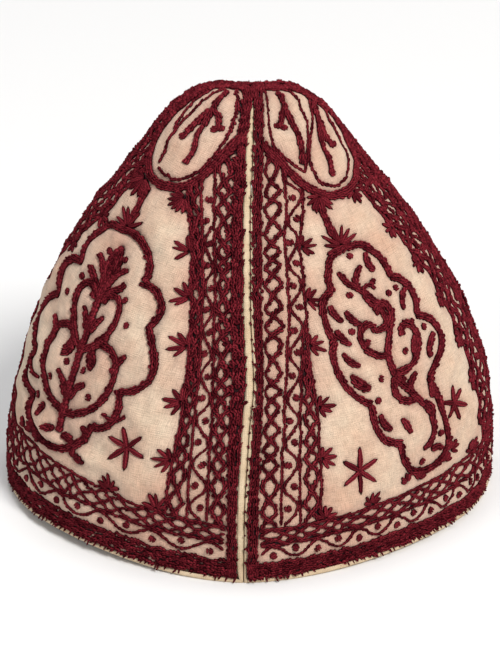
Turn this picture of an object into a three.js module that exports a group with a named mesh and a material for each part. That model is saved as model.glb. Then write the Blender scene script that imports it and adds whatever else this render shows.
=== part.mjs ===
// A dervish cap: four wadded cotton gores sewn edge to edge into a pointed dome.
// Each gore is a panel inside a narrow cream edging, which runs down one seam, along the rim and up the next seam.
// The front seam faces -Y, the side seams lie just behind the widest lines of the cap, and the rim stands on z = 0.
// Lengths are in millimetres. A place on a gore is given by two shares: across runs from the front or back seam (0)
// to the side seam (1), and along runs from the rim (0) to the top (1).
import * as THREE from 'three';

// Driving dimensions
const rimHalfWidth = 93;      // centre to the widest line of a side, at the rim
const rimHalfDepth = 93;      // centre to the front or back seam, at the rim
const capHeight = 152;
const clothThickness = 2.4;   // two cottons with a thin wadding between them
const edgingWidth = 1.6;      // cream edging that shows beside a seam
const edgingTipWidth = 0.4;   // the same edging where it runs out below the top
const rimEdgingHeight = 2.2;  // cream edging that shows along the rim
const edgingCorner = 3;       // length over which the edging turns from a seam into the rim
const sewnGap = 0.3;          // clear space between pieces that are sewn together
const panelPuff = 1.2;        // how far the wadding swells a gore between its seams
const tipOpening = 1.2;       // width of a gore where it stops at the top
const rimFlatLength = 9;      // level stretch of rim beside each seam, which the cap stands on

// Outlines from the rim to the top: out is a share of the half width or half depth, up is a share of the height.
// The side profile is the widest line of each side, and the front profile is the front seam and the back seam.
const sideProfile = [
  { out: 1.0, up: 0 },
  { out: 0.992, up: 0.1 },
  { out: 0.969, up: 0.2 },
  { out: 0.932, up: 0.31 },
  { out: 0.855, up: 0.44 },
  { out: 0.762, up: 0.56 },
  { out: 0.645, up: 0.675 },
  { out: 0.51, up: 0.785 },
  { out: 0.385, up: 0.885 },
  { out: 0.295, up: 0.955 },
  { out: 0.19, up: 0.995 },
  { out: 0.09, up: 1.005 },
  { out: 0, up: 1 },
];
const frontProfile = [
  { out: 1.0, up: 0 },
  { out: 0.993, up: 0.11 },
  { out: 0.96, up: 0.22 },
  { out: 0.895, up: 0.34 },
  { out: 0.805, up: 0.46 },
  { out: 0.69, up: 0.58 },
  { out: 0.55, up: 0.7 },
  { out: 0.405, up: 0.81 },
  { out: 0.255, up: 0.91 },
  { out: 0.125, up: 0.975 },
  { out: 0, up: 1 },
];

// Roundness of a level section: 2 is an ellipse, and less draws the section to a soft corner.
const roundness = { front: 1.74, side: 2.05, top: 1.6 };

// How far round each side seam lies behind the widest line of its side, as shares of a quarter turn. The soft cap
// stands twisted, so its left seam swings back further at half height, between the rim and swingEndShare of the way up.
const seamDrift = { rightShare: 0.035, leftShare: 0.05, leftSwingShare: 0.18, swingEndShare: 0.85 };

// Dents and swellings of the standing cap. around is 0 at the front seam, 1 right, 2 back and 3 left;
// along and both reaches are shares, and height is a share of the rim's half width, outwards positive.
const dents = [
  { name: 'full right side', around: 1, along: 0.22, reachAround: 0.35, reachAlong: 0.16, height: 0.017 },
  { name: 'slack left side', around: 3, along: 0.3, reachAround: 0.4, reachAlong: 0.22, height: -0.017 },
  { name: 'flat right rim', around: 0.5, along: 0, reachAround: 0.28, reachAlong: 0.2, height: -0.017 },
  { name: 'crease beside the front seam', around: 3.85, along: 0.5, reachAround: 0.08, reachAlong: 0.2, height: -0.011 },
  { name: 'fold over the left rim', around: 3.6, along: 0.19, reachAround: 0.28, reachAlong: 0.035, height: 0.009 },
  { name: 'hollow of the back', around: 1.6, along: 0.45, reachAround: 0.3, reachAlong: 0.2, height: -0.014 },
];

// The four gores: which way each faces, where its two seams lie around the cap, and how far the middle
// of its rim stands clear of the table, as a share of the height.
const gores = [
  { name: 'front_right', toRight: 1, toBack: -1, seamAround: 0, turn: 1, rimLift: 0.011 },
  { name: 'front_left', toRight: -1, toBack: -1, seamAround: 4, turn: -1, rimLift: 0.019 },
  { name: 'back_right', toRight: 1, toBack: 1, seamAround: 2, turn: -1, rimLift: 0.013 },
  { name: 'back_left', toRight: -1, toBack: 1, seamAround: 2, turn: 1, rimLift: 0.015 },
];

// Shares of a gore over which its wall turns: to lie in the plane of the front or back seam, level at the rim, and
// upright at the top.
const turns = { seamShare: 0.05, rimShare: 0.06, topStartShare: 0.9, topEndShare: 0.985 };

// Shares of the way up where the edging starts to narrow and where it has run out, and over which the panel then widens
const edgingTaper = { startShare: 0.8, endShare: 0.95, wideningShare: 0.015 };

// How finely the solids are cut
const fineness = { rowsAlong: 22, columnsAcross: 16, sectionSamples: 96, seamStations: 22, rimStations: 18 };
const normalStep = 0.004;

const smoothstep = (from, to, value) => {
  const share = Math.min(1, Math.max(0, (value - from) / (to - from)));
  return share * share * (3 - 2 * share);
};

function profileCurve(profile, outSize) {
  const points = profile.map((row) => new THREE.Vector3(row.out * outSize, 0, row.up * capHeight));
  const curve = new THREE.CatmullRomCurve3(points, false, 'catmullrom', 0.5);
  curve.arcLengthDivisions = 400;
  return curve;
}

const sideCurve = profileCurve(sideProfile, rimHalfWidth);
const frontCurve = profileCurve(frontProfile, rimHalfDepth);
const goreLength = (sideCurve.getLength() + frontCurve.getLength()) / 2;

// The part of a quarter turn that a gore spans: a front gore reaches past its quarter, and a back gore stops short.
function quarterShare(gore, along) {
  const { rightShare, leftShare, leftSwingShare, swingEndShare } = seamDrift;
  const swing = Math.sin(Math.PI * Math.min(along / swingEndShare, 1)) ** 2;
  const drift = gore.toRight > 0 ? rightShare : leftShare + leftSwingShare * swing;
  return 1 - gore.toBack * drift * (1 - smoothstep(swingEndShare, 1, along));
}

// A gore's level section at one height share, from its front or back seam to its side seam, with distances along it.
const sections = new Map(gores.map((gore) => [gore.name, new Map()]));
function sectionAt(gore, along) {
  const known = sections.get(gore.name);
  if (known.has(along)) return known.get(along);
  const side = sideCurve.getPointAt(along);
  const front = frontCurve.getPointAt(along);
  const points = [];
  for (let i = 0; i <= fineness.sectionSamples; i += 1) {
    const turn = (i / fineness.sectionSamples) * (Math.PI / 2) * quarterShare(gore, along);
    const towardsSide = Math.sin(turn) ** 2;
    const atRim = THREE.MathUtils.lerp(roundness.front, roundness.side, towardsSide);
    const power = 2 / THREE.MathUtils.lerp(atRim, roundness.top, along);
    points.push(new THREE.Vector3(
      side.x * Math.sin(turn) ** power,
      -front.x * Math.sign(Math.cos(turn)) * Math.abs(Math.cos(turn)) ** power,
      side.z * towardsSide + front.z * (1 - towardsSide),
    ));
  }
  const distances = [0];
  for (let i = 1; i <= fineness.sectionSamples; i += 1) {
    distances.push(distances[i - 1] + points[i].distanceTo(points[i - 1]));
  }
  const section = { points, distances, width: distances[fineness.sectionSamples] };
  known.set(along, section);
  return section;
}

// A point of the plain gore, before dents, as if it were the front right one.
function plainPoint(gore, across, along) {
  const { points, distances, width } = sectionAt(gore, along);
  const wanted = across * width;
  let i = 1;
  while (i < fineness.sectionSamples && distances[i] < wanted) i += 1;
  const share = (wanted - distances[i - 1]) / Math.max(distances[i] - distances[i - 1], 1e-9);
  return points[i - 1].clone().lerp(points[i], share);
}

// The way out of the cloth. It lies in the plane of the front or back seam at that seam, is level at the rim and
// upright at the top, so a wall set off along it stays on its own side of each seam and stands flat on the table.
function wayOut(gore, across, along) {
  const inAlong = Math.min(Math.max(along, normalStep), 1 - 2 * normalStep);
  const inAcross = Math.min(Math.max(across, normalStep), 1 - normalStep);
  const up = plainPoint(gore, inAcross, inAlong + normalStep).sub(plainPoint(gore, inAcross, inAlong - normalStep));
  const over = plainPoint(gore, inAcross + normalStep, inAlong).sub(plainPoint(gore, inAcross - normalStep, inAlong));
  const normal = over.cross(up).normalize();
  normal.x *= smoothstep(0, turns.seamShare, across);
  normal.z *= smoothstep(0, turns.rimShare, along);
  const upright = smoothstep(turns.topStartShare, turns.topEndShare, along);
  return normal.normalize().lerp(new THREE.Vector3(0, 0, 1), upright).normalize();
}

function dentHeight(gore, across, along) {
  const around = gore.seamAround + gore.turn * across * quarterShare(gore, along);
  const swelling = panelPuff * Math.sin(Math.PI * across) * smoothstep(0, 0.5, along) * smoothstep(0, 0.15, 1 - along);
  return dents.reduce((sum, dent) => {
    const apart = ((((around - dent.around + 2) % 4) + 4) % 4) - 2;
    const fade = (apart / dent.reachAround) ** 2 + ((along - dent.along) / dent.reachAlong) ** 2;
    return sum + dent.height * rimHalfWidth * Math.exp(-fade);
  }, swelling) * smoothstep(0, 0.08, 1 - along);
}

// The rim is level beside the seams and rises towards the middle of each gore. The rise dies out upwards.
function rimRise(gore, across, along) {
  const fromSeam = Math.min(across, 1 - across);
  const flatShare = rimFlatLength / sectionAt(gore, 0).width;
  return gore.rimLift * capHeight * smoothstep(flatShare, 0.5, fromSeam) * (1 - smoothstep(0, 0.25, along));
}

// A point of a gore, depth below its outer face.
function clothPoint(gore, across, along, depth) {
  const out = wayOut(gore, across, along);
  const dented = dentHeight(gore, across, along);
  const level = along === 0 ? 0 : 1;
  const point = plainPoint(gore, across, along);
  point.x += out.x * (dented - depth);
  point.y += out.y * (dented - depth);
  point.z += out.z * (dented * level - depth) + rimRise(gore, across, along);
  return new THREE.Vector3(point.x * gore.toRight, -point.y * gore.toBack, point.z);
}

// A closed mesh from quads [a, b, c, d] of points that are given by key, turned over on mirrored gores.
class SolidBuilder {
  constructor(mirrored) {
    this.mirrored = mirrored;
    this.positions = [];
    this.triangles = [];
  }

  addPoint(point) {
    this.positions.push(point.x, point.y, point.z);
    return this.positions.length / 3 - 1;
  }

  addQuad(a, b, c, d) {
    if (this.mirrored) this.triangles.push(a, c, b, a, d, c);
    else this.triangles.push(a, b, c, a, c, d);
  }

  geometry() {
    const geometry = new THREE.BufferGeometry();
    geometry.setAttribute('position', new THREE.Float32BufferAttribute(this.positions, 3));
    geometry.setIndex(this.triangles);
    geometry.computeVertexNormals();
    return geometry;
  }
}

function edgingWidthAt(along) {
  const tapered = smoothstep(edgingTaper.startShare, edgingTaper.endShare, along);
  return THREE.MathUtils.lerp(edgingWidth, edgingTipWidth, tapered);
}

// Distance from the seam to the panel's own edge.
function panelInset(along) {
  const besideEdging = sewnGap / 2 + edgingWidthAt(along) + sewnGap;
  const pastEdging = sewnGap / 2;
  const widened = smoothstep(edgingTaper.endShare, edgingTaper.endShare + edgingTaper.wideningShare, along);
  return THREE.MathUtils.lerp(besideEdging, pastEdging, widened);
}

function panelGeometry(gore) {
  const builder = new SolidBuilder(gore.toRight * gore.toBack > 0);
  const lowest = (rimEdgingHeight + sewnGap) / goreLength;
  const highest = 1 - (tipOpening * 0.66) / goreLength;
  const outer = [];
  const inner = [];
  for (let row = 0; row <= fineness.rowsAlong; row += 1) {
    const along = THREE.MathUtils.lerp(lowest, highest, row / fineness.rowsAlong);
    const inset = panelInset(along) / sectionAt(gore, along).width;
    outer.push([]);
    inner.push([]);
    for (let column = 0; column <= fineness.columnsAcross; column += 1) {
      const across = THREE.MathUtils.lerp(inset, 1 - inset, column / fineness.columnsAcross);
      outer[row].push(builder.addPoint(clothPoint(gore, across, along, 0)));
      inner[row].push(builder.addPoint(clothPoint(gore, across, along, clothThickness)));
    }
  }
  for (let row = 0; row < fineness.rowsAlong; row += 1) {
    for (let column = 0; column < fineness.columnsAcross; column += 1) {
      builder.addQuad(outer[row][column], outer[row][column + 1], outer[row + 1][column + 1], outer[row + 1][column]);
      builder.addQuad(inner[row][column], inner[row + 1][column], inner[row + 1][column + 1], inner[row][column + 1]);
    }
    const last = fineness.columnsAcross;
    builder.addQuad(outer[row][0], outer[row + 1][0], inner[row + 1][0], inner[row][0]);
    builder.addQuad(outer[row][last], inner[row][last], inner[row + 1][last], outer[row + 1][last]);
  }
  for (let column = 0; column < fineness.columnsAcross; column += 1) {
    const top = fineness.rowsAlong;
    builder.addQuad(outer[0][column], inner[0][column], inner[0][column + 1], outer[0][column + 1]);
    builder.addQuad(outer[top][column], outer[top][column + 1], inner[top][column + 1], inner[top][column]);
  }
  return builder.geometry();
}

// Stations of the edging: down beside the front or back seam, round the corner, along the rim and up the side seam.
// Each station has a place on the edging's outer line and one on the line where it meets the panel.
function edgingStations(gore) {
  const stations = [];
  const { seamStations, rimStations } = fineness;
  const rimAlong = rimEdgingHeight / goreLength;
  const firstAlong = rimAlong + edgingCorner / goreLength;
  const seamStation = (along, mirror) => {
    const { width } = sectionAt(gore, along);
    const edge = sewnGap / 2 / width;
    const meeting = (sewnGap / 2 + edgingWidthAt(along)) / width;
    return {
      edge: { across: mirror ? 1 - edge : edge, along },
      meeting: { across: mirror ? 1 - meeting : meeting, along },
    };
  };
  for (let i = seamStations; i >= 0; i -= 1) {
    stations.push(seamStation(THREE.MathUtils.lerp(firstAlong, edgingTaper.endShare, i / seamStations), false));
  }
  const cornerEdge = sewnGap / 2 / sectionAt(gore, 0).width;
  const cornerMeeting = (sewnGap / 2 + edgingWidth) / sectionAt(gore, rimAlong).width;
  for (let i = 0; i <= rimStations; i += 1) {
    const share = i / rimStations;
    stations.push({
      edge: { across: THREE.MathUtils.lerp(cornerEdge, 1 - cornerEdge, share), along: 0 },
      meeting: { across: THREE.MathUtils.lerp(cornerMeeting, 1 - cornerMeeting, share), along: rimAlong },
    });
  }
  for (let i = 0; i <= seamStations; i += 1) {
    stations.push(seamStation(THREE.MathUtils.lerp(firstAlong, edgingTaper.endShare, i / seamStations), true));
  }
  return stations;
}

function edgingGeometry(gore) {
  const builder = new SolidBuilder(gore.toRight * gore.toBack > 0);
  const rings = edgingStations(gore).map(({ edge, meeting }) => [
    builder.addPoint(clothPoint(gore, edge.across, edge.along, 0)),
    builder.addPoint(clothPoint(gore, meeting.across, meeting.along, 0)),
    builder.addPoint(clothPoint(gore, meeting.across, meeting.along, clothThickness)),
    builder.addPoint(clothPoint(gore, edge.across, edge.along, clothThickness)),
  ]);
  for (let i = 1; i < rings.length; i += 1) {
    for (let side = 0; side < 4; side += 1) {
      const next = (side + 1) % 4;
      builder.addQuad(rings[i - 1][side], rings[i][side], rings[i][next], rings[i - 1][next]);
    }
  }
  const first = rings[0];
  const last = rings[rings.length - 1];
  builder.addQuad(first[0], first[1], first[2], first[3]);
  builder.addQuad(last[0], last[3], last[2], last[1]);
  return builder.geometry();
}

const cotton = new THREE.MeshStandardMaterial({ color: 0xd9bba0, roughness: 0.95, metalness: 0 });
const creamCotton = new THREE.MeshStandardMaterial({ color: 0xe3cfa4, roughness: 0.9, metalness: 0 });

const cap = new THREE.Group();
cap.name = 'dervish_cap';
for (const gore of gores) {
  const panel = new THREE.Mesh(panelGeometry(gore), cotton);
  panel.name = `panel_${gore.name}`;
  const edging = new THREE.Mesh(edgingGeometry(gore), creamCotton);
  edging.name = `edging_${gore.name}`;
  cap.add(panel, edging);
}

export default cap;
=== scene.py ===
import math
import bpy
import numpy as np
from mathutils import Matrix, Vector


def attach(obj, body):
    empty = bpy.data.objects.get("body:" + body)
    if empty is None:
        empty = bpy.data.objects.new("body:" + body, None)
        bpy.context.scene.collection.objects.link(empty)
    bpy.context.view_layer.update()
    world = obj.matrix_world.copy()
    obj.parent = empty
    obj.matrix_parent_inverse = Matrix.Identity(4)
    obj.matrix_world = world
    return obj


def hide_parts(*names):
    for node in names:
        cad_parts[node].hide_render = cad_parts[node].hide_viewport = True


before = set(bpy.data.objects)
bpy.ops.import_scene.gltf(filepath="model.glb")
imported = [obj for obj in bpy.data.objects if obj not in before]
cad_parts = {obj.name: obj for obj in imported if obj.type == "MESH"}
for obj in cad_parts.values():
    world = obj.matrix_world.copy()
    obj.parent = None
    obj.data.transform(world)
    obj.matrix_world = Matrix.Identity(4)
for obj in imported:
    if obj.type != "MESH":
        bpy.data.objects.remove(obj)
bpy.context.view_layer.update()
mm = 0.001


# the cap's surface, in mm, as its solids have it

cap = {
    "rimHalfWidth": 93.0, "rimHalfDepth": 93.0, "height": 152.0, "clothThickness": 2.4,
    "frontRoundness": 1.74, "sideRoundness": 2.05, "topRoundness": 1.6, "puff": 1.2, "rimFlatLength": 9.0,
    "rightDrift": 0.035, "leftDrift": 0.05, "leftSwing": 0.18, "swingEnd": 0.85,  # how far back the side seams lie
    "sunk": 1.2,  # the cloth lies this far under the solid's face, which the stitches reach
}
# outlines: share of the half width or depth, share of the height
sideProfile = np.array([
    (1.0, 0), (0.992, 0.1), (0.969, 0.2), (0.932, 0.31), (0.855, 0.44), (0.762, 0.56), (0.645, 0.675),
    (0.51, 0.785), (0.385, 0.885), (0.295, 0.955), (0.19, 0.995), (0.09, 1.005), (0, 1)])
frontProfile = np.array([
    (1.0, 0), (0.993, 0.11), (0.96, 0.22), (0.895, 0.34), (0.805, 0.46), (0.69, 0.58), (0.55, 0.7),
    (0.405, 0.81), (0.255, 0.91), (0.125, 0.975), (0, 1)])
# dents: place around (0 front, 1 right, 2 back, 3 left), place along, reach around, reach along, height in mm
dents = [
    (1, 0.22, 0.35, 0.16, 1.58), (3, 0.3, 0.4, 0.22, -1.58), (0.5, 0, 0.28, 0.2, -1.58),
    (3.85, 0.5, 0.08, 0.2, -1.02), (3.6, 0.19, 0.28, 0.035, 0.84), (1.6, 0.45, 0.3, 0.2, -1.3)]
gores = {
    "front_right": {"toRight": 1, "toBack": -1, "seamAround": 0, "turn": 1, "rimLift": 1.0},
    "front_left": {"toRight": -1, "toBack": -1, "seamAround": 4, "turn": -1, "rimLift": 2.89},
    "back_right": {"toRight": 1, "toBack": 1, "seamAround": 2, "turn": -1, "rimLift": 1.98},
    "back_left": {"toRight": -1, "toBack": 1, "seamAround": 2, "turn": 1, "rimLift": 2.28},
}
# the front seam isn't straight: height along it, then how far it is drawn to the right, in mm
frontSeamPull = np.array([(0, -0.2), (28, 0.1), (44, 0.9), (58, 1.7), (70, 2.9), (80, 2.7), (95, 1.8), (112, 1.5),
                          (135, 1.2), (150, 1.7), (175, 2.0), (190, 0.6)])
gridRows, gridColumns = 380, 160


def smoothstep(low, high, value):
    share = np.clip((value - low) / (high - low), 0, 1)
    return share * share * (3 - 2 * share)


def runOf(points):
    # distance of each point of a line from its first one, measured along the line
    steps = np.linalg.norm(np.diff(points, axis=-2), axis=-1)
    return np.concatenate([np.zeros(steps.shape[:-1] + (1,)), np.cumsum(steps, axis=-1)], axis=-1)


def evenly(points, count):
    # the same line with count + 1 points, evenly spaced along its length; also gives its length
    far = runOf(points)
    at = np.linspace(0, far[-1], count + 1)
    return np.column_stack([np.interp(at, far, column) for column in points.T]), far[-1]


def smoothLine(points, each=12):
    # uniform Catmull-Rom curve through the points, with each samples to a span
    points = np.asarray(points, float)
    ends = np.vstack([2 * points[0] - points[1], points, 2 * points[-1] - points[-2]])
    p0, p1, p2, p3 = (ends[k:len(ends) - 3 + k, None] for k in range(4))
    u = np.linspace(0, 1, each, endpoint=False)[None, :, None]
    line = 0.5 * (2 * p1 + (p2 - p0) * u + (2 * p0 - 5 * p1 + 4 * p2 - p3) * u**2
                  + (3 * p1 - p0 - 3 * p2 + p3) * u**3)
    return np.vstack([line.reshape(-1, points.shape[1]), points[-1]])


sideLine, sideLength = evenly(smoothLine(sideProfile * (cap["rimHalfWidth"], cap["height"]), 40), gridRows)
frontLine, frontLength = evenly(smoothLine(frontProfile * (cap["rimHalfDepth"], cap["height"]), 40), gridRows)
goreLength = (sideLength + frontLength) / 2
rowHeights = np.linspace(0, goreLength, gridRows + 1)
acrossGrid, alongGrid = np.meshgrid(np.linspace(0, 1, gridColumns + 1), np.linspace(0, 1, gridRows + 1))


def plainGore(span):
    # level sections from the front line round to the side seam, span quarter turns away at each height:
    # x = out * sin^(2/n), y = -out * cos^(2/n), resampled evenly across; also gives the widths
    turn = np.linspace(0, math.pi / 2, 241)[None] * span
    share = np.sin(turn) ** 2
    roundness = cap["frontRoundness"] + (cap["sideRoundness"] - cap["frontRoundness"]) * share
    power = 2 / (roundness + (cap["topRoundness"] - roundness) * alongGrid[:, :1])
    section = np.stack([
        sideLine[:, :1] * np.sin(turn) ** power,
        -frontLine[:, :1] * np.sign(np.cos(turn)) * np.abs(np.cos(turn)) ** power,
        sideLine[:, 1:] * share + frontLine[:, 1:] * (1 - share)], axis=-1)
    rows = [evenly(line, gridColumns) for line in section]
    return np.array([points for points, width in rows]), np.array([width for points, width in rows])


def unit(vectors):
    return vectors / np.maximum(np.linalg.norm(vectors, axis=-1, keepdims=True), 1e-9)


def wayOut(plain):
    # normals of the plain gore, in the seam plane at the front or back seam, level at the rim, upright at the top
    out = np.cross(np.gradient(plain, axis=1), np.gradient(plain, axis=0))
    out[-1] = (0, 0, 1)
    out = unit(out)
    out[..., 0] *= smoothstep(0, 0.05, acrossGrid)
    out[..., 2] *= smoothstep(0, 0.06, alongGrid)
    upright = smoothstep(0.9, 0.985, alongGrid)[..., None]
    return unit(unit(out) * (1 - upright) + np.array([0, 0, 1.0]) * upright)


def shapeGore(gore):
    # plain gore + way out * (swelling + dents) + rise of the rim, mirrored to its quarter of the cap
    along = alongGrid[:, :1]
    swing = np.sin(math.pi * np.minimum(along / cap["swingEnd"], 1)) ** 2
    drift = cap["rightDrift"] if gore["toRight"] > 0 else cap["leftDrift"] + cap["leftSwing"] * swing
    span = 1 - gore["toBack"] * drift * (1 - smoothstep(cap["swingEnd"], 1, along))
    plain, gore["widths"] = plainGore(span)
    outward = wayOut(plain)
    around = gore["seamAround"] + gore["turn"] * acrossGrid * span
    swelling = smoothstep(0, 0.5, alongGrid) * smoothstep(0, 0.15, 1 - alongGrid)
    height = cap["puff"] * np.sin(math.pi * acrossGrid) * swelling
    for place, dentAlong, reachAround, reachAlong, depth in dents:
        apart = (around - place + 2) % 4 - 2
        height += depth * np.exp(-(apart / reachAround) ** 2 - ((alongGrid - dentAlong) / reachAlong) ** 2)
    height *= smoothstep(0, 0.08, 1 - alongGrid)
    flat = cap["rimFlatLength"] / gore["widths"][0]
    fromSeam = np.minimum(acrossGrid, 1 - acrossGrid)
    points = plain + outward * height[..., None]
    points[..., 2] += gore["rimLift"] * smoothstep(flat, 0.5, fromSeam) * (1 - smoothstep(0, 0.25, alongGrid))
    quarter = np.array([gore["toRight"], -gore["toBack"], 1])
    gore["points"], gore["out"] = points * quarter, outward * quarter
    if gore["toBack"] < 0:
        pull = np.interp(rowHeights, *smoothLine(frontSeamPull, 10).T)[:, None]
        gore["points"][..., 0] += pull * (1 - smoothstep(1.5, 9.0, acrossGrid * gore["widths"][:, None]))
    gore["mirrored"] = gore["toRight"] * gore["toBack"] > 0


for gore in gores.values():
    shapeGore(gore)
quarterWidths = plainGore(np.ones((gridRows + 1, 1)))[1]


def widthAt(gore, v):
    # width of the gore in mm, v mm up its length
    return np.interp(v, rowHeights, gore["widths"])


def centreAt(gore, v):
    # how far x = 0 of the drawing lies from the front or back seam
    middle = quarterWidths if gore["toBack"] < 0 else gore["widths"]
    return np.interp(v, rowHeights, middle) / 2


def onGore(gore, x, v, lift):
    # bilinear reading of a gore, in metres: x mm from its centre line, v mm up its length, lift mm out of the cloth
    row = np.clip(v / goreLength * gridRows, 0, gridRows)
    column = (x + centreAt(gore, v)) / np.maximum(widthAt(gore, v), 1.0) * gridColumns
    i = np.clip(np.floor(row).astype(int), 0, gridRows - 1)
    j = np.clip(np.floor(column).astype(int), 0, gridColumns - 1)
    fi = (row - i)[..., None]
    fj = np.clip(column - j, -1.5, 2.5)[..., None]
    read = lambda grid: ((grid[i, j] * (1 - fj) + grid[i, j + 1] * fj) * (1 - fi)
                         + (grid[i + 1, j] * (1 - fj) + grid[i + 1, j + 1] * fj) * fi)
    below = np.minimum(v, 0)[..., None] * np.array([0, 0, 1.0])  # past the rim a stitch goes straight down
    return (read(gore["points"]) + read(gore["out"]) * (np.asarray(lift) - cap["sunk"])[..., None] + below) * mm


print("cap surface: %.1f mm along a gore, %.1f mm across a quarter of its rim" % (goreLength, quarterWidths[0]))


# the embroidery's drawing, in mm on the flat gore: x from the centre line, v up from the rim

# border beside each seam: v, then distance from the seam to the end of the edging, of the dense rows and to three lines
borders = {
    "frontLeft": [(0, 2.5, 6.2, 13.4, 21, 30), (25, 2.5, 6.2, 13.4, 20.9, 29.1), (45, 2.5, 6.3, 12.6, 19.6, 25.8),
                  (60, 2.5, 6.3, 11.9, 18.2, 23.2), (75, 2.5, 6.2, 11.5, 16.9, 21), (100, 2.6, 6, 11.3, 16, 20),
                  (120, 2.5, 5.8, 11.7, 16, 20.2), (135, 2.5, 5.7, 12, 17, 22.5), (155, 2.4, 5.3, 12, 17, 22),
                  (166, 2.1, 4.8, 12, 17, 22), (175, 1.0, 4.0, 12, 17, 22), (180, 0.2, 3.4, 12, 17, 22),
                  (190, 0.15, 3.4, 12, 17, 22)],
    "frontRight": [(0, 1.1, 5, 13.3, 20.3, 28.3), (25, 1.1, 5.1, 13.3, 20.3, 28.1), (45, 1.1, 5.2, 13.5, 20, 27.2),
                   (60, 1.0, 5.2, 14, 20, 26.5), (80, 0.9, 5.1, 15, 20.6, 23.2), (95, 0.9, 5.1, 15.6, 21.7, 21.7),
                   (120, 0.8, 5, 14, 19.4, 19.4), (137, 0.8, 4.9, 14.5, 21.5, 21.5), (157, 0.8, 4.6, 12, 17, 17),
                   (165, 0.2, 4.2, 12, 17, 17), (190, 0.15, 4, 12, 17, 17)],
    "sideLeft": [(0, 1.3, 5.4, 14, 22.5, 33), (25, 1.2, 5.4, 14, 22.3, 32.5), (42, 1.0, 5.2, 13.4, 21.2, 31),
                 (56, 0.9, 5, 12, 18.4, 27), (75, 0.7, 4.8, 11.4, 17.4, 25), (90, 0.5, 4.7, 11.6, 18.2, 26.5),
                 (112, 0.3, 4.5, 12, 18.8, 27.5), (125, 0.25, 4.4, 12, 17.6, 24), (136, 0.2, 4.2, 11.4, 16, 21),
                 (158, 0.2, 4.2, 12, 17, 20), (172, 0.2, 4.2, 12, 17, 22), (190, 0.15, 4, 12, 17, 22)],
    "sideRight": [(0, 1.3, 5.4, 14, 22.5, 34), (25, 1.2, 5.4, 14, 22.3, 33.5), (44, 1.0, 5.2, 13.6, 21.6, 32),
                  (57, 0.9, 5, 12.2, 19.2, 28.4), (74, 0.7, 4.8, 11.4, 17.8, 25.6), (90, 0.5, 4.7, 10.8, 16.4, 23.2),
                  (105, 0.3, 4.6, 10.8, 16.4, 23.4), (120, 0.25, 4.4, 10.4, 15.6, 21.8),
                  (135, 0.2, 4.2, 10.4, 15, 20.4), (158, 0.2, 4.2, 12, 17, 20), (172, 0.2, 4.2, 12, 17, 22),
                  (190, 0.15, 4, 12, 17, 22)],
}
# border above the rim: share across from the front or back seam, and heights of the piled rows, a line and the top line
rimBorders = {
    "front_left": [(0, 9.0, 15.6, 21.5), (0.25, 9.4, 16.2, 23.5), (0.5, 9.6, 16.6, 26.8), (0.65, 9.6, 16.8, 28.4),
                   (1, 9.2, 16.2, 26)],
    "front_right": [(0, 8.2, 14.6, 20.4), (0.25, 8.2, 15, 21), (0.5, 8.2, 15.3, 22.2), (0.75, 8.2, 15.6, 23.8),
                    (1, 8.4, 15.8, 24.5)],
    "back_right": [(0, 8.6, 15.2, 23), (0.5, 8.8, 15.6, 24.5), (1, 8.6, 15.4, 24)],
    "back_left": [(0, 8.8, 15.4, 24), (0.5, 8.8, 15.8, 25), (1, 8.6, 15.2, 23.5)],
}
# cartouche outlines, x growing away from the front seam: each scallop starts where the one before it ends
cartoucheLeft = [
    [(17.4, 114.2), (22.4, 110.3), (26.3, 105.3), (26.9, 100.3), (24.7, 96.6)],
    [(31.3, 95.3), (36.3, 91.4), (37.4, 85.9), (33, 82)],
    [(39.1, 78.1), (44.7, 71.4), (45.8, 65.9), (41.3, 60.9), (35.8, 59.8)],
    [(39.7, 55.9), (41.9, 50.3), (39.1, 46.4), (29.1, 45.3)],
    [(30.8, 41.4), (28, 35.9), (23.6, 33.1), (12.4, 32.6), (2.4, 35.3), (-3.7, 41.4), (-5.9, 46.4)],
    [(-10.9, 47.6), (-14.8, 51.4), (-15.9, 57), (-14.2, 62)],
    [(-20.9, 64.2), (-25.3, 70.3), (-24.2, 77), (-21.4, 81.4), (-17.6, 87)],
    [(-19.8, 91.4), (-18.7, 95.9), (-14.8, 99.8), (-8.1, 101.4)],
    [(-9.2, 104.8), (-6.4, 110.3), (-0.9, 114.2), (4.7, 115.6), (9.1, 115.4)],
]
cartoucheRight = [
    [(-11.3, 112), (-15.2, 105.9), (-16.3, 100.9)],
    [(-20.2, 98.7), (-22.4, 93.7), (-23, 87), (-21.9, 83.7)],
    [(-24.7, 79.2), (-24.9, 73.7), (-23.6, 67.6), (-20.2, 62), (-16.3, 58.7)],
    [(-16.3, 51.4), (-13.6, 44.8), (-6.9, 41.4)],
    [(-6.9, 37), (-4.7, 31.4), (-0.2, 28.3), (7.6, 27.8), (13.7, 30.3), (16.4, 34.8), (15.6, 43.7), (14.8, 51.4),
     (12.2, 59.2)],
    [(18.7, 63.1), (23.7, 69.2), (23.7, 73.7), (20.9, 78.1), (15.9, 81.4)],
    [(18.1, 85.9), (17.6, 91.4), (14.2, 95.3), (10.3, 97.6)],
    [(9.8, 102.6), (6.4, 109.2), (2.6, 112.9), (-4.1, 114.2)],
]
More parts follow.
